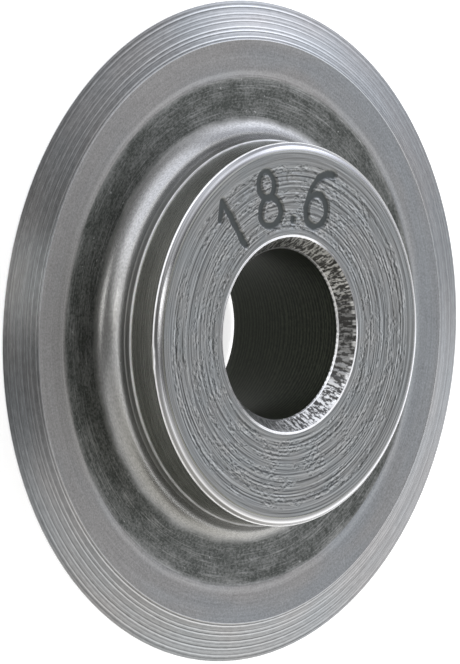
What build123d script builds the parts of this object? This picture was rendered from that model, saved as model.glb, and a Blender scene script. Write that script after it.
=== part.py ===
from build123d import *
import math
import os

# Pipe cutter wheel: a thin bevelled disc and the hub that it turns on, all one piece of hardened steel.
# It is turned from bar, hardened, and its disc is then ground.
# The origin is the centre of the bore, in the plane of the cutting edge.
# +Z is the axis of the bore and points out of the countersunk side. All lengths are in millimetres.

# Cutting disc
outside_diameter = 18.6
disc_thickness = 0.76
cutting_angle = 36.0
edge_land = 0.05

# Hub, the same on both sides of the disc
hub_diameter = 10.8
hub_width = 4.5
hub_chamfer_run = 0.24
hub_chamfer_drop = 0.16

# Shoulder at the root of each hub, and the fillet that carries the cutting load into it
shoulder_step = 0.05
shoulder_height = 0.84
root_fillet = 0.62

# Bore for the cutter's pin, with the drill's countersink in front and a broken edge behind
bore_diameter = 4.8
countersink_run = 0.35
countersink_angle = 75.0
back_edge_break = 0.08

# Radii, from the axis
edge_radius = outside_diameter / 2
hub_radius = hub_diameter / 2
bore_radius = bore_diameter / 2
shoulder_radius = hub_radius + shoulder_step
countersink_radius = bore_radius + countersink_run

# Heights, from the plane of the cutting edge
land_height = edge_land / 2
disc_height = disc_thickness / 2
shoulder_top = disc_height + shoulder_height
hub_height = hub_width / 2

# The bevel rises from the land to the flat side of the disc at half of the cutting angle
bevel_run = (disc_height - land_height) / math.tan(math.radians(cutting_angle / 2))
bevel_radius = edge_radius - bevel_run


def outer_outline():
    """One side of the wheel's outer outline, from its axis at the cutting plane out to the edge and back."""
    mid_plane = (0, 0)
    edge = (edge_radius, 0)
    land_end = (edge_radius, land_height)
    bevel_end = (bevel_radius, disc_height)
    fillet_start = (shoulder_radius + root_fillet, disc_height)
    fillet_end = (shoulder_radius, disc_height + root_fillet)
    fillet_centre = (shoulder_radius + root_fillet, disc_height + root_fillet)
    shoulder_outside = (shoulder_radius, shoulder_top)
    shoulder_inside = (hub_radius, shoulder_top)
    chamfer_start = (hub_radius, hub_height - hub_chamfer_drop)
    chamfer_end = (hub_radius - hub_chamfer_run, hub_height)
    face_centre = (0, hub_height)
    disc_side = Polyline(mid_plane, edge, land_end, bevel_end, fillet_start)
    root = CenterArc(fillet_centre, root_fillet, 180, 90)
    hub_side = Polyline(
        fillet_end,
        shoulder_outside,
        shoulder_inside,
        chamfer_start,
        chamfer_end,
        face_centre,
        mid_plane,
    )
    return [disc_side, root, hub_side]


def turned_blank():
    """The wheel before it is bored: the outline and its mirror image, turned about the axis."""
    half = make_face(Curve() + outer_outline())
    section = half + mirror(half, about=Plane.XZ)
    return revolve(Plane.XZ * section, axis=Axis.Z)


def bored(blank):
    """The blank with its bore, the countersink in front and the broken edge behind."""
    front = Pos(0, 0, hub_height)
    back = Pos(0, 0, -hub_height)
    countersink_depth = countersink_run / math.tan(math.radians(countersink_angle / 2))
    bore = Cylinder(bore_radius, hub_width)
    countersink = front * Cone(
        bore_radius,
        countersink_radius,
        countersink_depth,
        align=(Align.CENTER, Align.CENTER, Align.MAX),
    )
    broken_edge = back * Cone(
        bore_radius + back_edge_break,
        bore_radius,
        back_edge_break,
        align=(Align.CENTER, Align.CENTER, Align.MIN),
    )
    return blank - bore - countersink - broken_edge


cutter_wheel = bored(turned_blank())

os.makedirs("parts", exist_ok=True)
export_step(cutter_wheel, "parts/cutter_wheel.step")

bore_wall = hub_width - countersink_run / math.tan(math.radians(countersink_angle / 2)) - back_edge_break
print(f"cutter_wheel: {cutter_wheel.volume:.2f} cubic mm, bore wall {bore_wall:.4f} mm long")
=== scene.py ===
import math
from collections import namedtuple

import bpy
import numpy as np
from mathutils import Matrix, Vector


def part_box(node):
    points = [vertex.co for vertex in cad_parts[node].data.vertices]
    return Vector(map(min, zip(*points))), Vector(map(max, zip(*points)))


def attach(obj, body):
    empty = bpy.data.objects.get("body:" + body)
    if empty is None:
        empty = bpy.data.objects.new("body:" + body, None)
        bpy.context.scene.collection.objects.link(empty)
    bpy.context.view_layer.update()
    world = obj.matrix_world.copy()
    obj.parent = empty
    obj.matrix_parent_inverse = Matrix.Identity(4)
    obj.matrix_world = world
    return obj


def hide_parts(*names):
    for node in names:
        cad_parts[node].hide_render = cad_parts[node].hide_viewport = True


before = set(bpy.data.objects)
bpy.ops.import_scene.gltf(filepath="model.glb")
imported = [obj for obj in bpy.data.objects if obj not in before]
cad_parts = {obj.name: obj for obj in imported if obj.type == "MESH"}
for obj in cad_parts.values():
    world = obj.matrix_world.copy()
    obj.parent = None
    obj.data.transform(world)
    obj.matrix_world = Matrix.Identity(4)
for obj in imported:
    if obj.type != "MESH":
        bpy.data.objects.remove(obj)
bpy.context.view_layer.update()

# The cutting edge. The wheel is one disc of hardened tool steel, turned from bar. Its rim is brought
# almost to a point by grinding both sides, and the stone leaves a land a few hundredths wide.
MM = 0.001
lowest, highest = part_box("cutter_wheel")
rim_radius = (highest.x - lowest.x) / 2 / MM
hub_top = (highest.z - lowest.z) / 2 / MM
land_half = 0.025
land_round = 0.004

# Rings of points are laid round the axis, from the rim to the bore. Angles run clockwise, as the
# photograph shows the wheel, and start at its top. More of the points lie where the number is stamped.
point_count = 960
crowded_from, crowded_to = math.radians(-62), math.radians(38)
crowding, crowd_blend = 1.2, 0.14
sweep = np.linspace(-math.pi, math.pi, 7201)
begun = np.tanh((sweep - crowded_from) / crowd_blend)
ended = np.tanh((sweep - crowded_to) / crowd_blend)
crowd = 1 + crowding * 0.5 * (begun - ended)
share = np.concatenate([[0], np.cumsum((crowd[1:] + crowd[:-1]) / 2)])
turn = np.interp(np.arange(point_count) / point_count, share / share[-1], sweep)
COARSE, FINE, FINEST = 6, 2, 1


class Ring:
    """One ring of points: its radius, its height and its mark, which lightens or darkens the skin.

    On the front face the mark is the stamp; on the bevels it is painted highlight and painted shade.
    The finish is that of the skin up to the ring before.
    """

    def __init__(self, finish, radius, height, every=COARSE):
        self.finish = finish
        self.angle = turn[::every]
        self.radius = radius + 0 * self.angle
        self.height = height + 0 * self.angle
        self.mark = 0 * self.angle


def uneven(seed, angle, across, around, pitch):
    """A smooth random height from -1 to 1, with so many swells a turn and one for each pitch across."""
    dice = np.random.default_rng(seed).uniform(-1, 1, (around, 256))
    u = angle / (2 * math.pi) * around
    v = across / pitch + 0 * angle
    i, j = np.floor(u).astype(int), np.floor(v).astype(int)
    u, v = u - i, v - j
    u, v = u * u * (3 - 2 * u), v * v * (3 - 2 * v)
    near = dice[i % around, j % 256] * (1 - u) + dice[(i + 1) % around, j % 256] * u
    far = dice[i % around, (j + 1) % 256] * (1 - u) + dice[(i + 1) % around, (j + 1) % 256] * u
    return near * (1 - v) + far * v


front, back, bore = [], [], []
for side in (front, back):
    side.append(Ring("edge_land", rim_radius, land_half - land_round))
    side.append(Ring("edge_land", rim_radius - 0.3 * land_round, land_half - 0.3 * land_round))


class Wire:
    """A value on its way between shader nodes. Arithmetic on it adds the Math nodes."""

    tree = None

    def __init__(self, socket):
        self.socket = socket

    @classmethod
    def node(cls, kind, settings=None, inputs=None, output=0):
        """Adds any other node: its settings first, then the values or links of its sockets."""
        made = cls.tree.nodes.new(kind)
        for name, value in (settings or {}).items():
            setattr(made, name, value)
        for name, value in (inputs or {}).items():
            if isinstance(value, Wire):
                cls.tree.links.new(value.socket, made.inputs[name])
            else:
                made.inputs[name].default_value = value
        return cls(made.outputs[output]) if made.outputs else None

    @classmethod
    def maths(cls, operation, *values):
        return cls.node("ShaderNodeMath", {"operation": operation}, dict(enumerate(values)))

    def __add__(self, other):
        return self.maths("ADD", self, other)

    def __sub__(self, other):
        return self.maths("SUBTRACT", self, other)

    def __rsub__(self, other):
        return self.maths("SUBTRACT", other, self)

    def __mul__(self, other):
        return self.maths("MULTIPLY", self, other)

    def __truediv__(self, other):
        return self.maths("DIVIDE", self, other)

    def __pow__(self, other):
        return self.maths("POWER", self, other)

    __radd__, __rmul__ = __add__, __mul__

    def size(self):
        return self.maths("ABSOLUTE", self)

    def between(self, start, end):
        """0 up to start, 1 from end on, and a smooth rise between."""
        settings = {"interpolation_type": "SMOOTHSTEP"}
        return self.node("ShaderNodeMapRange", settings, {0: self, 1: start, 2: end})

    def tint(self, first, second):
        """The first colour where the value is 0 and the second where it is 1."""
        inputs = {0: self, 6: (*first, 1), 7: (*second, 1)}
        return self.node("ShaderNodeMix", {"data_type": "RGBA"}, inputs, output=2)

    def paint(self, first, second):
        """As tint, between two colours that are themselves wires."""
        inputs = {0: self, 6: first, 7: second}
        return self.node("ShaderNodeMix", {"data_type": "RGBA"}, inputs, output=2)

    def stained(self, stain):
        """This colour, multiplied by another."""
        settings = {"data_type": "RGBA", "blend_type": "MULTIPLY"}
        return self.node("ShaderNodeMix", settings, {0: 1.0, 6: self, 7: stain}, output=2)


def start_finish(name):
    """A new material with no nodes yet, which the next wires belong to."""
    made = bpy.data.materials.new(name)
    made.use_nodes = True
    made.node_tree.nodes.clear()
    Wire.tree = made.node_tree
    return made


Place = namedtuple("Place", "down right radius height")


def place_on_wheel():
    """Where a point lies: its radius and height in millimetres, and its direction from the axis.

    The direction is given as seen in the photograph, from -1 to 1 downwards and to the right.
    """
    here = Wire.node("ShaderNodeTexCoord", output="Object")
    here = Wire.node("ShaderNodeVectorMath", {"operation": "SCALE"}, {0: here, "Scale": 1 / MM})
    x, y, z = (Wire.node("ShaderNodeSeparateXYZ", None, {0: here}, output=axis) for axis in range(3))
    radius = (x * x + y * y) ** 0.5
    return Place(x / radius, y / radius, radius, z)


seed_step = 7.3


def grain(place, across, radius, long, wide, detail=2, rough=0.5, seed=0):
    """Noise drawn out round the wheel: marks so long and so wide, in millimetres, about that radius."""
    turns = radius / long
    inputs = {0: place.down * turns + seed_step * seed, 1: place.right * turns, 2: across / wide}
    where = Wire.node("ShaderNodeCombineXYZ", None, inputs)
    inputs = {"Vector": where, "Scale": 1, "Detail": detail, "Roughness": rough}
    return Wire.node("ShaderNodeTexNoise", {"noise_dimensions": "3D"}, inputs)


def steel(colour, roughness, height, depth, anisotropy, metallic=1.0, specular=0.5):
    """The steel's own shader. Height is a wire from 0 to 1 and depth its size in millimetres."""
    bump = Wire.node("ShaderNodeBump", None, {"Height": height, "Distance": depth * MM, "Strength": 1})
    inputs = {
        "Base Color": colour,
        "Metallic": metallic,
        "Roughness": roughness,
        "Normal": bump,
        "Anisotropic": anisotropy,
        "Anisotropic Rotation": 0.25,
        "Specular IOR Level": specular,
    }
    shader = Wire.node("ShaderNodeBsdfPrincipled", None, inputs)
    Wire.node("ShaderNodeOutputMaterial", None, {"Surface": shader})


finishes = [start_finish("edge_land")]
place = place_on_wheel()
marks = grain(place, place.height, rim_radius, 0.3, 0.02)
steel(marks.tint((0.62, 0.62, 0.62), (0.7, 0.7, 0.7)), 0.22 + marks * 0.1, marks, 0.001, 0.0)

# The bevels. Both sides of the rim are ground on a small stone that is fed in by hand. Each one carries
# eight main rings, some plainer than others, with fine scoring between them, and a raised wire of metal
# where it meets the flat of the disc.
bevel_slope = math.tan(math.radians(18))
disc_half = 0.38
bevel_inner = rim_radius - (disc_half - land_half) / bevel_slope
rim_shadow = (9.245, 0), (9.232, -0.7), (9.205, -0.7), (9.190, 0)
bevel_rings = (
    # radius, strength
    (9.150, 0.85),
    (9.035, 0.25),
    (8.952, 0.85),
    (8.848, 0.4),
    (8.752, 1.0),
    (8.578, 1.0),
    (8.476, 0.75),
    (8.305, 1.2),
)
# Each ring's light column paints it: a painted highlight on its crest and painted shade on its inner
# flank.
ring_profile = (
    # offset, lift, light
    (0.022, 0.0, 0.0),
    (0.012, 0.0005, 1.3),
    (-0.010, 0.0, 1.3),
    (-0.026, -0.002, -0.6),
    (-0.044, -0.003, -0.6),
    (-0.058, 0.0, 0.0),
)
# The crease's raised wire carries a painted highlight, its third number.
crease_profile = (0.030, 0.004, 0.1), (0.015, 0.012, 1.1), (0, 0.001, 0)
edge_strip = 0.010
ring_places = -180, -160, -135, -110, -70, -55, -40, -25, -10, 10, 25, 45, 110, 135, 160, 180
ring_plainness = 1.1, 0.85, 0.75, 0.35, 0.3, 0.45, 0.6, 0.95, 1.2, 1.0, 0.4, 0.1, 0.06, 0.25, 0.85, 1.1


def bevel_height(radius):
    return land_half + (rim_radius - radius) * bevel_slope


def plainness(angle):
    """How strongly the rings show round the wheel: plain at top and bottom, faint elsewhere, in relief
    and in their painted highlight and shade.
    """
    return np.interp(np.degrees(angle), ring_places, ring_plainness)


for number, side in enumerate((front, back)):
    side.append(Ring("bevel", rim_radius - edge_strip, bevel_height(rim_radius - edge_strip)))
    for radius, light in rim_shadow:
        ring = Ring("bevel", radius, bevel_height(radius))
        ring.mark += light * np.minimum(plainness(ring.angle), 0.7)
        side.append(ring)
    for radius, strength in bevel_rings:
        for offset, lift, light in ring_profile:
            ring = Ring("bevel", radius + offset, bevel_height(radius + offset))
            plain = strength * plainness(ring.angle)
            plain *= 0.85 + 0.3 * uneven(40 + number, ring.angle, radius, 9, 0.04)
            ring.height += lift * plain
            ring.mark = light * plain
            side.append(ring)
    for offset, lift, light in crease_profile:
        ring = Ring("bevel", bevel_inner + offset, bevel_height(bevel_inner + offset) + lift)
        ring.mark += light
        side.append(ring)

finishes.append(start_finish("bevel"))
place = place_on_wheel()
lines = grain(place, place.radius, rim_radius, 60.0, 0.1, 2, 0.6)
short = grain(place, place.radius, rim_radius, 12.0, 0.07, 2, 0.6, 7)
fine = grain(place, place.radius, rim_radius, 0.25, 0.06, 2, 0.6, 3)
patches = grain(place, place.radius, rim_radius, 1.4, 0.5, 3, 0.5, 5)
hue = grain(place, place.radius, rim_radius, 4.0, 1.5, 2, 0.5, 8)
# The glints are painted highlight lines, and the mark attribute brings the rings' painted highlight and
# shade into the colour, mixed with the fine scoring.
glints = 1 - (lines - 0.55).size().between(0.02, 0.07)
painted_ring_light = Wire.node("ShaderNodeAttribute", {"attribute_name": "mark"}, output="Fac")
scoring_and_painted_light = glints * (0.4 + patches) * 0.5 - (1 - lines.between(0.38, 0.48)) * 0.3
scoring_and_painted_light = scoring_and_painted_light + (short - 0.5) * 1.2 + (fine - 0.5) * 1.9 + painted_ring_light * 2.4
grey = (0.2 + scoring_and_painted_light * 0.14).tint((0.16, 0.162, 0.162), (0.96, 0.96, 0.96))
cool = hue.between(0.3, 0.7).tint((0.965, 1.0, 1.02), (1.015, 0.998, 0.985))
shade = grey.stained(cool)
steel(shade, 0.2 + fine * 0.08, lines, 0.004, 0.85)

# The flat of the disc. Its outer ring is surface ground, fine and even. Inside that the stone didn't
# reach, and the skin from hardening is left: darker, rougher, with scratches run round it.
ground_radii = 8.190, 8.170, 8.12, 7.90, 7.65, 7.40, 7.24, 7.16
dark_radii = 7.12, 7.08, 6.95, 6.80, 6.63, 6.46, 6.28, 6.13
ground_off = 0.006
bright_strip = 7.28
for number, side in enumerate((front, back)):
    for radius in ground_radii:
        side.append(Ring("ground_flat", radius, disc_half))
    for radius in dark_radii:
        ring = Ring("dark_flat", radius, disc_half - ground_off)
        ring.height += 0.003 * uneven(50 + number, ring.angle, radius, 60, 0.2)
        side.append(ring)

finishes.append(start_finish("ground_flat"))
place = place_on_wheel()
lines = grain(place, place.radius, 7.6, 5.0, 0.06, 3, 0.7)
fine = grain(place, place.radius, 7.6, 0.055, 0.045, 2, 0.6, 2)
patches = grain(place, place.radius, 7.6, 1.1, 0.6, 3, 0.6, 4)
hue = grain(place, place.radius, 7.6, 3.5, 0.8, 1, 0.5, 8)
reach = place.radius + (lines - 0.5) * 0.12 + (patches - 0.5) * 0.16
strip = 1 - (reach - bright_strip).size().between(0.0, 0.17)
light = 0.47 + (fine - 0.5) * 0.9 + (lines - 0.5) * (0.5 + strip * 0.5) + (patches - 0.5) * 0.25
light = light + strip * 0.26 - (1 - reach.between(7.08, 7.2)) * 0.4
grey = light.tint((0.132, 0.132, 0.132), (0.432, 0.432, 0.432))
# The tint is also made cooler towards the right (place.right): painted colour of the light on that side.
hue = (hue - 0.07 + place.right * 0.19).between(0.25, 0.75)
cool = hue.tint((1.018, 0.996, 0.968), (0.958, 1.0, 1.027))
shade = grey.stained(cool)
steel(shade, 0.34 + patches * 0.1, fine, 0.003, 0.2)


def dark_skin(place):
    """The oven skin's colour and its height: fine mottle, short scratches and a few bright specks."""
    scratches = grain(place, place.radius, 6.6, 2.2, 0.045, 3, 0.7).between(0.5, 0.68)
    mottle = grain(place, place.radius, 6.6, 0.09, 0.06, 3, 0.7, 4)
    clouds = grain(place, place.radius, 6.6, 0.9, 0.4, 3, 0.5, 6)
    specks = grain(place, place.radius, 6.6, 0.16, 0.12, 1, 0.5, 9).between(0.74, 0.8)
    outside = (place.radius + (clouds - 0.5) * 0.2).between(6.98, 7.2)
    wear = scratches * clouds * 0.75 + (mottle - 0.5) * 1.4 + 0.18 + specks * 0.8
    wear = wear + (clouds - 0.5) * 0.8 + outside * 0.45
    return wear.tint((0.062, 0.067, 0.061), (0.335, 0.338, 0.327)), mottle * 0.5 + scratches * 0.5


finishes.append(start_finish("dark_flat"))
place = place_on_wheel()
shade, height = dark_skin(place)
patches = grain(place, place.radius, 6.6, 0.9, 0.4, 3, 0.5, 6)
steel(shade, 0.32 + patches * 0.12, height, 0.006, 0.4)

# The root of the hub. A round-nosed tool sweeps the disc up into the hub, and leaves a low shoulder with
# a sharp step where the hub itself was turned.
fillet_outer = 6.07
fillet_radius = 0.62
fillet_steps = 12
shoulder_profile = (
    # finish, radius, height
    ("shoulder", 5.450, 1.010),
    ("shoulder", 5.446, 1.024),
    ("shoulder", 5.440, 1.046),
    ("shoulder", 5.440, 1.100),
    ("shoulder", 5.446, 1.120),
    ("shoulder", 5.442, 1.140),
    ("shoulder", 5.446, 1.170),
    ("shoulder", 5.450, 1.206),
    ("shoulder", 5.442, 1.218),
    ("burr", 5.433, 1.226),
    ("burr", 5.420, 1.231),
    ("burr", 5.402, 1.234),
)
for number, side in enumerate((front, back)):
    for step in range(fillet_steps + 1):
        tilt = math.radians(90 * step / fillet_steps)
        ring = Ring(
            "fillet" if step > 0 else "dark_flat",
            fillet_outer - fillet_radius * math.sin(tilt),
            disc_half + fillet_radius * (1 - math.cos(tilt)),
        )
        rough = 0.001 * math.cos(tilt) * uneven(60 + number, ring.angle, step, 90, 1.0)
        ring.radius += rough * math.sin(tilt)
        ring.height += rough * math.cos(tilt)
        side.append(ring)
    for finish, radius, height in shoulder_profile:
        side.append(Ring(finish, radius, height))

finishes.append(start_finish("fillet"))
place = place_on_wheel()
across = place.height - place.radius
speckle = grain(place, across, 5.8, 0.09, 0.05, 3, 0.7)
lines = grain(place, across, 5.8, 5.0, 0.04, 2, 0.6, 3)
patches = grain(place, across, 5.8, 0.9, 0.4, 3, 0.5, 6)
light = speckle.between(0.25, 0.75) * 0.55 + (1 - place.radius.between(5.5, 5.75)) * 0.22 + 0.1
bare = light.tint((0.3, 0.3, 0.292), (0.57, 0.568, 0.558))
skin = dark_skin(place)[0]
# The skin mask runs the dark skin over the fillet's foot: partly the real skin, partly painted shade for
# the dark flat that the foot reflects. It reaches less far towards the bottom (place.down), which is
# painted light there.
darkened = 1 - (place.radius + place.down * 0.06 + (patches - 0.5) * 0.25).between(5.78, 6.1)
height = speckle * 0.6 + lines * 0.4
steel(darkened.paint(skin, bare), 0.34 - darkened * 0.16 + patches * 0.1, height, 0.0035, 0.4)

finishes.append(start_finish("shoulder"))
place = place_on_wheel()
lines = grain(place, place.height, 5.4, 6.0, 0.03, 3, 0.6)
patches = grain(place, place.height, 5.4, 0.8, 0.3, 3, 0.5, 3)
# The shoulder is painted lighter towards the bottom (place.down): painted light from that side.
light = patches * 0.6 + place.down.between(0.2, 0.9) * 0.6
steel(light.tint((0.27, 0.27, 0.26), (0.45, 0.448, 0.43)), 0.24 + lines * 0.1, lines, 0.004, 0.7)

# The hub. Its wall is turned to size and left with the faint rings of the tool, and its two edges are
# chamfered. The chamfer's outer corner stands as a bright line, with one small nick in the front edge.
hub_radius = 5.4
nick_at, nick_half, nick_depth = math.radians(-99.3), 0.009, 0.05
wall_heights = 1.240, 1.26, 1.36, 1.50, 1.64, 1.78, 1.92, 2.02, 2.062
corner_profile = (5.400, 2.052), (5.397, 2.072), (5.388, 2.091), (5.374, 2.104)
chamfer_profile = (
    # finish, radius, height
    ("chamfer", 5.368, 2.108),
    ("chamfer", 5.350, 2.124),
    ("chamfer", 5.330, 2.142),
    ("chamfer", 5.310, 2.159),
    ("chamfer", 5.300, 2.165),
    ("chamfer", 5.280, 2.175),
    ("chamfer", 5.250, 2.190),
    ("chamfer", 5.215, 2.206),
    ("chamfer", 5.190, 2.216),
    ("chamfer", 5.175, 2.221),
    ("hub_wall", 5.168, 2.216),
    ("hub_wall", 5.158, 2.224),
    ("hub_wall", 5.146, 2.242),
)
for number, side in enumerate((front, back)):
    for height in wall_heights:
        ring = Ring("hub_wall", hub_radius, height)
        ring.radius -= 0.002 * (1 + uneven(70 + number, ring.angle, height, 14, 0.09))
        side.append(ring)
    for radius, height in corner_profile:
        ring = Ring("burr", radius, height)
        nick = np.exp(-(((ring.angle - nick_at) / nick_half) ** 2)) if side is front else 0
        ring.radius -= nick_depth * nick
        side.append(ring)
    for finish, radius, height in chamfer_profile:
        side.append(Ring(finish, radius, height))

finishes.append(start_finish("hub_wall"))
place = place_on_wheel()
lines = grain(place, place.height, 5.4, 7.0, 0.035, 3, 0.6)
patches = grain(place, place.height, 5.4, 1.0, 0.3, 3, 0.5, 3)
wear = patches * 0.6 + lines * 0.4
steel(wear.tint((0.2, 0.203, 0.178), (0.48, 0.483, 0.445)), 0.22 + lines * 0.1, lines, 0.004, 0.6)

finishes.append(start_finish("chamfer"))
place = place_on_wheel()
lines = grain(place, place.radius, 5.3, 6.0, 0.03, 3, 0.6)
patches = grain(place, place.radius, 5.3, 0.8, 0.2, 3, 0.5, 3)
band = place.radius.between(5.20, 5.28) * (1 - place.radius.between(5.29, 5.32))
# The mask at the upper right, from place.right and place.down, dims the band there: painted shade.
darkened = (place.right * 0.77 - place.down * 0.64).between(0.75, 0.97)
bright = 0.55 + (patches - 0.5) * 0.6 + lines.between(0.35, 0.55) * 0.4
wear = band * bright * (1 - darkened * 0.7) + 0.1 - darkened * 0.1
steel(wear.tint((0.3, 0.3, 0.3), (0.95, 0.955, 0.98)), 0.12 + lines * 0.1, lines, 0.005, 0.6)

# The end faces of the hub. They are faced off in soft steel by a coarse feed that tears the metal:
# wandering rings, flakes and short pits, with a smoother band left at each edge. The front one is
# stamped with the wheel's size.
smooth_outer = 4.92
smooth_inner = 2.93
off_centre = 0.06
digit_bottom, digit_top = 3.16, 4.74
nothing_near = 9.0
digit_reach = 0.6
stroke_half = 0.102
stamp_depth = 0.05
digit_places = {"1": -41.0, "8": -17.5, ".": -2.5, "6": 12.5}


def arc(cx, cy, rx, ry, start, end):
    t = np.radians(np.linspace(start, end, 22))
    return np.stack([cx + rx * np.cos(t), cy + ry * np.sin(t)], -1)


digit_strokes = {
    "1": [np.array([(0.04, 0.0), (0.04, 1.0)]), np.array([(0.04, 1.0), (-0.2, 0.76)])],
    "8": [arc(0, 0.75, 0.2, 0.25, 0, 360), arc(0, 0.26, 0.27, 0.26, 0, 360)],
    ".": [np.array([(0.0, 0.03), (0.0, 0.06)])],
    "6": [arc(0, 0.29, 0.27, 0.29, 0, 360), arc(0.24, 0.34, 0.51, 0.66, 90, 180)],
}


def stroke_distance(radius, angle):
    """How far each point of a ring lies from the nearest stamped stroke, in millimetres."""
    nearest = np.full(angle.shape, nothing_near)
    height = digit_top - digit_bottom
    for digit, at in digit_places.items():
        aside = angle - math.radians(at)
        elsewhere = np.abs(np.angle(np.exp(1j * aside))) > digit_reach
        u = np.sin(aside) * radius / height
        w = (np.cos(aside) * radius - digit_bottom) / height
        for stroke in digit_strokes[digit]:
            for (x0, y0), (x1, y1) in zip(stroke, stroke[1:]):
                dx, dy = x1 - x0, y1 - y0
                t = np.clip(((u - x0) * dx + (w - y0) * dy) / (dx * dx + dy * dy), 0, 1)
                away = np.hypot(u - x0 - t * dx, w - y0 - t * dy) * height
                away[elsewhere] = nothing_near
                nearest = np.minimum(nearest, away)
    return nearest


def torn(number, radius, angle):
    """How far the torn skin lies below its crests, from 0 to 1: flakes, in patches and bands."""
    bent = radius + 0.05 * uneven(89 + number, angle, radius, 150, 0.12)
    crest = 1 - np.clip(np.abs(uneven(90 + number, angle, bent, 150, 0.085)) / 0.35, 0, 1)
    patch = np.clip(0.35 + 1.1 * uneven(93 + number, angle, radius, 22, 0.3), 0, 1)
    outer_band = np.exp(-(((radius - 4.5) / 0.25) ** 2))
    inner_band = 0.9 * np.exp(-(((radius - 3.15) / 0.09) ** 2))
    return (1 - crest) * patch * np.minimum(outer_band + inner_band + 0.25, 1.0)


face_top = hub_top - 0.004
outer_band_profile = (
    # radius, drop
    (5.125, 0.001),
    (5.105, 0.000),
    (5.090, 0.005),
    (5.075, 0.001),
    (5.050, 0.001),
    (5.035, 0.005),
    (5.020, 0.001),
    (4.960, 0.003),
    (4.940, 0.004),
)
inner_band_profile = (2.86, 0.005), (2.83, 0.002), (2.81, 0.005)
# Within each turn of the feed: how far along it, and how deep the tool has gone.
front_cut = (0, 0.0), (0.25, 0.8), (0.5, 1.0), (0.75, 0.8)
back_cut = (0, 0.0), (0.4, 1.0)
back_stretch = 1.4
for number, side in enumerate((front, back)):
    for radius, drop in outer_band_profile:
        side.append(Ring("face", radius, face_top - drop))
    feeds = np.random.default_rng(120 + number).uniform(0.09, 0.135, 30)
    edge = smooth_outer
    while edge > smooth_inner:
        feed = feeds[len(side) % 30]
        for share, sunk in front_cut if side is front else back_cut:
            middle = edge - share * feed
            ring = Ring("face", middle, face_top - 0.004, FINE if side is front else COARSE)
            inside = np.clip(min((smooth_outer - middle) / 0.15, (middle - smooth_inner) / 0.1), 0.03, 1)
            wander = 0.022 * uneven(80 + number, ring.angle, middle, 6, 0.5)
            wander += 0.012 * uneven(83 + number, ring.angle, middle, 70, 0.3)
            wander -= off_centre * np.cos(ring.angle)
            ring.radius += inside * wander
            cut = 0.5 + 0.5 * uneven(86 + number, ring.angle, edge, 16, 0.02)
            flaked = torn(number, ring.radius, ring.angle)
            ring.height -= inside * (0.009 * cut * sunk + 0.014 * flaked)
            if side is front:
                away = stroke_distance(ring.radius, ring.angle)
                half = stroke_half * (1 + 0.3 * uneven(97, ring.angle, middle, 130, 0.16))
                pressed = np.clip((half + 0.02 - away) / 0.05, 0, 1)
                pressed = pressed * pressed * (3 - 2 * pressed)
                lip = np.exp(-(((away - half - 0.045) / 0.03) ** 2))
                stamped = (face_top - stamp_depth) * pressed
                ring.height = ring.height * (1 - pressed) + stamped + 0.003 * lip
                ring.mark = np.clip((half + 0.012 - away) / 0.035, 0, 1)
            side.append(ring)
        edge -= feed if side is front else back_stretch * feed
    for radius, drop in inner_band_profile:
        side.append(Ring("face", radius, face_top - drop, FINE if side is front else COARSE))

finishes.append(start_finish("face"))
place = place_on_wheel()
stamp = Wire.node("ShaderNodeAttribute", {"attribute_name": "mark"}, output="Fac")
patches = grain(place, place.radius, 4.0, 0.8, 0.25, 3, 0.5, 6)
fading = grain(place, place.radius, 4.0, 1.6, 0.3, 2, 0.5, 10)
hue = grain(place, place.radius, 4.0, 0.8, 0.6, 2, 0.5, 8)
drift = grain(place, place.radius, 4.0, 5.0, 0.4, 2, 0.5, 12)
reach = place.radius - place.down * off_centre
torn_here = place.radius.between(2.9, 3.0) * (1 - reach.between(4.8, 4.9))
flaky = torn_here * patches.between(0.42, 0.58)
ridge_pitch = 0.1
lit_over = 0.035


def torn_height(shift):
    """The torn skin's height that far outside the point: rings, the feed's even ridges and flakes."""
    across = place.radius + shift
    rings = grain(place, across, 4.0, 3.0, 0.085, 3, 0.65)
    flakes = grain(place, across, 4.0, 0.13, 0.09, 2, 0.5, 4)
    ridges = Wire.maths("SINE", (across + drift * 0.4) * (2 * math.pi / ridge_pitch))
    return rings * 0.85 + ridges * 0.035 + (flakes - 0.5) * flaky * 1.1


relief = torn_height(0)
# The relief's drop over lit_over paints it as if lit from one side: painted highlight on one flank of
# each ring and flake, painted shade on the other.
slope = relief - torn_height(lit_over)
strong = 0.55 + torn_here * (0.1 + fading * 0.55)
light = 0.36 + strong * slope * 2.3 + (patches - 0.5) * 0.15
grey = light.tint((0.08, 0.082, 0.083), (0.5, 0.5, 0.5))
cool = hue.between(0.3, 0.7).tint((0.965, 1.0, 0.995), (0.995, 1.0, 0.975))
bright = grey.stained(cool)
dark = patches.tint((0.075, 0.085, 0.085), (0.128, 0.138, 0.138))
shade = stamp.paint(bright, dark)
steel(shade, 0.22 + patches * 0.1 + stamp * 0.3, relief, 0.007, 0.2)

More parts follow.
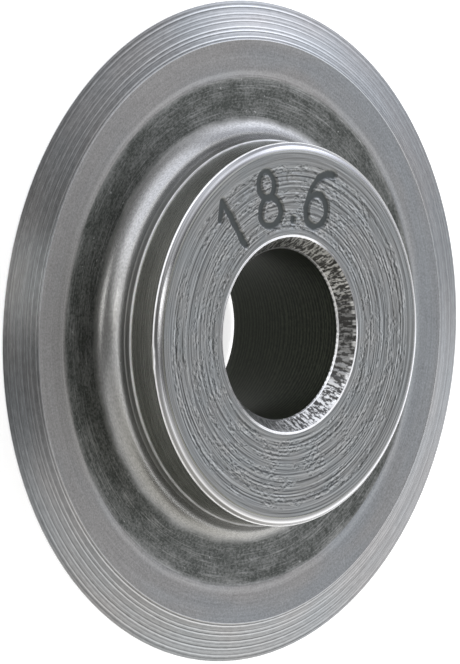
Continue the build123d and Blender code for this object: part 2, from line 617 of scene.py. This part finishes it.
# The countersink that eases the bore's front edge. The tool chattered, which left ticks all round it,
# and its outer edge stands up as a bright burr. The back edge is only broken.
countersink_outer = 2.735
countersink_inner = 2.4
countersink_drop = 0.018
countersink_foot = 1.7939
countersink_steps = 8
tick_count = 92
burr_profile = (2.785, 0.011), (2.770, 0.005), (2.755, 0.001), (2.742, 0.007)
back_edge_profile = (
    # finish, radius, drop
    ("face", 2.80, 0.006),
    ("face", 2.60, 0.006),
    ("face", 2.50, 0.006),
    ("burr", 2.485, 0.008),
    ("burr", 2.470, 0.018),
    ("burr", 2.42, 0.062),
    ("burr", 2.405, 0.076),
)
for radius, drop in burr_profile:
    ring = Ring("burr", radius, hub_top - drop, FINE)
    ring.height -= 0.003 * (1 + uneven(100, ring.angle, radius, 70, 0.1))
    front.append(ring)
for step in range(countersink_steps + 1):
    share = step / countersink_steps
    ring = Ring(
        "countersink" if step < countersink_steps else "burr",
        countersink_outer + (countersink_inner - countersink_outer) * share,
        hub_top - countersink_drop + (countersink_foot - hub_top + countersink_drop) * share,
        FINEST,
    )
    slip = 0.35 * uneven(104, ring.angle, share, 30, 0.5)
    tick = 0.5 + 0.5 * np.sin(ring.angle * tick_count + slip * 6 + 1.5 * share)
    loud = np.clip(0.6 + 0.7 * uneven(106, ring.angle, share, 46, 0.3), 0, 1.2)
    ends = math.sin(math.pi * min(max(share, 0.03), 0.97)) ** 0.5
    ring.radius += 0.016 * tick ** 2 * loud * ends
    front.append(ring)
for finish, radius, drop in back_edge_profile:
    back.append(Ring(finish, radius, hub_top - drop))

finishes.append(start_finish("burr"))
place = place_on_wheel()
fine = grain(place, place.radius, 2.75, 0.2, 0.03)
# The burrs' bright colour is partly their bare metal and partly painted highlight along the edges. The
# masks dim them by side, at the upper right on the outer burrs, at the left on the inner ones and
# towards the bottom and top on the low ones: painted shade.
darkened = (place.right * 0.77 - place.down * 0.64).between(0.8, 0.97) * place.radius.between(2.5, 2.6)
left = (place.down * 0.42 - place.right * 0.91).between(0.6, 0.95) * (1 - place.radius.between(3, 4))
foot = place.down.between(0.15, 0.7) * 0.85 + (1 - place.down.between(-0.9, -0.5)) * 0.5
light = 0.5 + fine - darkened - left * 0.9 - foot * (1 - place.height.between(1.4, 1.6))
steel(light.tint((0.26, 0.26, 0.26), (0.98, 0.98, 0.98)), 0.28 + fine * 0.16, fine, 0.003, 0.0)

finishes.append(start_finish("countersink"))
place = place_on_wheel()
ticks = grain(place, place.height, 2.55, 0.075, 0.2, 2, 0.6)
pits = grain(place, place.height, 2.55, 0.09, 0.07, 2, 0.6, 3)
spikes = grain(place, place.height, 2.55, 0.1, 3.0, 1, 0.5, 7).between(0.48, 0.6)
edges = place.height.between(2.13, 2.2) + 1 - place.height.between(1.82, 1.87)
# shaded darkens the right side, and ends and bottom lighten the top and bottom: painted shade and
# painted light by side.
shaded = place.right.between(0.8, 0.97)
ends = place.down.size().between(0.72, 0.98)
bottom = (place.down - place.right * 0.35).between(0.9, 1.02)
light = (ticks * 0.65 + pits * 0.35).between(0.46, 0.57) * (0.8 - shaded * 0.55 + ends * 0.3)
light = light + ends * 0.1 + spikes * edges * 0.7 + bottom * 0.4
shade = light.tint((0.07, 0.069, 0.066), (0.85, 0.85, 0.83))
steel(shade, 0.28 + pits * 0.12, ticks * 0.7 + pits * 0.3, 0.01, 0.0)

# The bore. It is drilled and reamed to run on its pin, and keeps the black of the hardening oven, with
# the reamer's fine rings.
bore_radius = 2.4
bore_front, bore_back = 1.775, -2.155
ream_feed = 0.114
for height in np.linspace(bore_front, bore_back, 14):
    ring = Ring("bore", bore_radius, height)
    ring.radius += 0.0004 * uneven(110, ring.angle, height, 24, 0.15)
    bore.append(ring)

finishes.append(start_finish("bore"))
place = place_on_wheel()
drift = grain(place, place.height, 2.4, 9.0, 0.5, 2, 0.6)
rings = Wire.maths("SINE", (place.height + drift * 0.3) * (2 * math.pi / ream_feed)) * 0.5 + 0.5
fine = grain(place, place.height, 2.4, 0.12, 0.06, 2, 0.6, 3)
wear = rings * 0.8 + (fine - 0.5) * 2.4
# The bore is darkened the farther in it goes from the front: painted shade.
deep = 1 - place.height.between(-2.0, 1.9) * 0.7
shade = (wear * (1.31 - deep)).tint((0.0065, 0.009, 0.004), (0.046, 0.054, 0.034))
steel(shade, 0.42 + fine * 0.1, rings * 0.7 + fine * 0.3, 0.003, 0.3, metallic=0.6)

# The whole wheel. It is one piece of steel, so the rings are joined into one closed skin: the front
# first, then the bore, then the back from the bore out.
rings = front + bore
for ring in reversed(back):
    ring.height = -ring.height
    rings.append(ring)
names = [finish.name for finish in finishes]
starts = np.cumsum([0] + [len(ring.angle) for ring in rings])
points = np.concatenate(
    [
        np.stack([-ring.radius * np.cos(ring.angle), ring.radius * np.sin(ring.angle), ring.height], -1)
        for ring in rings
    ]
)
quads, finish_of = [], []
for number, outer in enumerate(rings):
    following = (number + 1) % len(rings)
    inner = rings[following]
    inwards = 0 < following < len(front) + len(bore)
    finish = names.index(inner.finish if inwards else outer.finish)
    a, b = starts[number], starts[following]
    n, m = len(outer.angle), len(inner.angle)
    if n == m:
        j = np.arange(n)
        k = (j + 1) % n
        quads += np.stack([a + j, b + j, b + k, a + k], -1).tolist()
        finish_of += [finish] * n
        continue
    i = j = 0
    while i < n or j < m:
        if j >= m or (i < n and (i + 1) * m <= (j + 1) * n):
            quads.append([a + i % n, b + j % m, a + (i + 1) % n])
            i += 1
        else:
            quads.append([a + i % n, b + j % m, b + (j + 1) % m])
            j += 1
        finish_of.append(finish)

mesh = bpy.data.meshes.new("wheel")
mesh.from_pydata((points * MM).tolist(), [], quads)
for finish in finishes:
    mesh.materials.append(finish)
mesh.polygons.foreach_set("material_index", finish_of)
mesh.polygons.foreach_set("use_smooth", [True] * len(quads))
mark = mesh.attributes.new("mark", "FLOAT", "POINT")
mark.data.foreach_set("value", np.concatenate([ring.mark for ring in rings]).astype(np.float32))
mesh.update()
wheel = bpy.data.objects.new("wheel", mesh)
bpy.context.collection.objects.link(wheel)
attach(wheel, "root")
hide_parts("cutter_wheel")

# The table. It is a plain pale surface that the wheel lies on, and isn't part of it. It glows a little,
# as white card does under soft light from all round.
floor_size = 3.0
floor_mesh = bpy.data.meshes.new("floor")
corners = (-1, -1), (1, -1), (1, 1), (-1, 1)
corners = [(x * floor_size, y * floor_size, -hub_top * MM) for x, y in corners]
floor_mesh.from_pydata(corners, [], [(0, 1, 2, 3)])
floor = bpy.data.objects.new("floor", floor_mesh)
bpy.context.collection.objects.link(floor)
floor_mesh.materials.append(start_finish("floor"))
cloud = Wire.node("ShaderNodeTexNoise", None, {"Scale": 40.0, "Detail": 2.0})
inputs = {
    "Base Color": cloud.tint((0.8, 0.8, 0.8), (0.84, 0.84, 0.84)),
    "Roughness": 0.6,
    "Specular IOR Level": 0.1,
    "Emission Color": (1, 1, 1, 1),
    "Emission Strength": 0.72,
}
shade = Wire.node("ShaderNodeBsdfPrincipled", None, inputs)
Wire.node("ShaderNodeOutputMaterial", None, {"Surface": shade})

# The light. It is a soft grey room with a large bright panel on either side and a darker gap between,
# brightest beyond the wheel and to its left, and two small lamps, one overhead and one by the camera.
world = bpy.data.worlds.new("studio")
bpy.context.scene.world = world
world.use_nodes = True
world.node_tree.nodes.clear()
Wire.tree = world.node_tree
look = Wire.node("ShaderNodeTexCoord", output="Generated")
dx, dy, dz = (Wire.node("ShaderNodeSeparateXYZ", None, {0: look}, output=axis) for axis in range(3))
far = dy.between(0.25, 0.85)
near = 1 - dy.between(-0.75, -0.1)
beside = (1 - far) * (1 - near)
low = 1 - dz.between(0.15, 0.55)
high = 1 - low
right_panel = (dx - 0.3 * dz + 0.06 * dy).between(-0.03, 0.03)
left_panel = (0 - 0.43 * dz - 0.16 * dy - dx).between(-0.10, 0.10)
gap = (1 - right_panel) * (1 - left_panel)
overhead = dz.between(0.80, 0.97)
right_light = far * (low * 0.70 + high * 0.64) + beside * (low * 0.12 + high * 0.45)
right_light = right_light + near * (low * 0.44 + high * 0.3)
falling = 0.78 - 0.46 * dz.between(0.6, 0.85)
left_light = far * (low * 0.5 + high * (1.35 - 0.85 * dz.between(0.56, 0.78))) + (1 - far) * falling
left_light = left_light * (1 - 0.4 * (1 - (dy - 0.45).size().between(0.05, 0.25)))
left_light = left_light * (1 - 0.35 * near * dx.between(-0.6, -0.3))
gap_light = overhead * 0.14 + far * (high * (1 - overhead) * 0.74 + low * 0.3) + near * low * 0.46
gap_light = gap_light + (1 - overhead) * (1 - far) * (1 - near * low) * 0.15
room = right_panel * right_light + left_panel * left_light + gap * gap_light
lamps = (
    # direction, half its angle, strength
    ((-0.1, -0.08, 0.99), 8, 0.9),
    ((-0.2, -0.94, 0.28), 9, 0.5),
)
for direction, half_angle, strength in lamps:
    d = Vector(direction).normalized()
    facing = dx * d.x + dy * d.y + dz * d.z
    edges = math.cos(math.radians(half_angle * 1.2)), math.cos(math.radians(half_angle * 0.8))
    room = room + facing.between(*edges) * strength
warmth = (1 + dx) * 0.5 + (1 - far) * (1 - dx.between(-0.1, 0.3)) * 0.3
cool = warmth.tint((0.93, 0.985, 1.16), (1.03, 1.0, 0.925))
shade = Wire.node("ShaderNodeBackground", None, {"Color": cool, "Strength": room * 1.75})
pale = Wire.node("ShaderNodeBackground", None, {"Color": (1, 1, 1, 1), "Strength": 1.0})
seen = Wire.node("ShaderNodeLightPath", output="Is Camera Ray")
both = Wire.node("ShaderNodeMixShader", None, {0: seen, 1: shade, 2: pale})
Wire.node("ShaderNodeOutputWorld", None, {"Surface": both})

# The camera. It looks down at the wheel as the photograph does, from far off with a long lens, and is
# turned so that the axis runs across the picture.
picture_width, picture_height = 460, 664
rim_pixels = 330.7
distance_in_radii = 60.0
centre_px, centre_py = 231.6, 331.1
tip = math.radians(46.8)
roll = math.radians(3.5)
toward = Vector((0, -math.sin(tip), math.cos(tip)))
across = Vector((0, math.cos(tip), math.sin(tip)))
along = Vector((-1, 0, 0))
right = math.cos(roll) * across + math.sin(roll) * along
up = -math.sin(roll) * across + math.cos(roll) * along
pixel = rim_radius * MM / rim_pixels
eye = toward * (distance_in_radii * rim_radius * MM)
eye += right * (picture_width / 2 - centre_px) * pixel - up * (picture_height / 2 - centre_py) * pixel
lens = bpy.data.cameras.new("camera")
lens.sensor_width = 36.0
lens.lens = rim_pixels * distance_in_radii * lens.sensor_width / picture_height
lens.clip_start = 0.01
lens.clip_end = 10.0
camera = bpy.data.objects.new("camera", lens)
camera.matrix_world = Matrix(
    [
        (right.x, up.x, toward.x, eye.x),
        (right.y, up.y, toward.y, eye.y),
        (right.z, up.z, toward.z, eye.z),
        (0, 0, 0, 1),
    ]
)
bpy.context.collection.objects.link(camera)
bpy.context.scene.camera = camera
bpy.context.scene.view_settings.view_transform = "Standard"
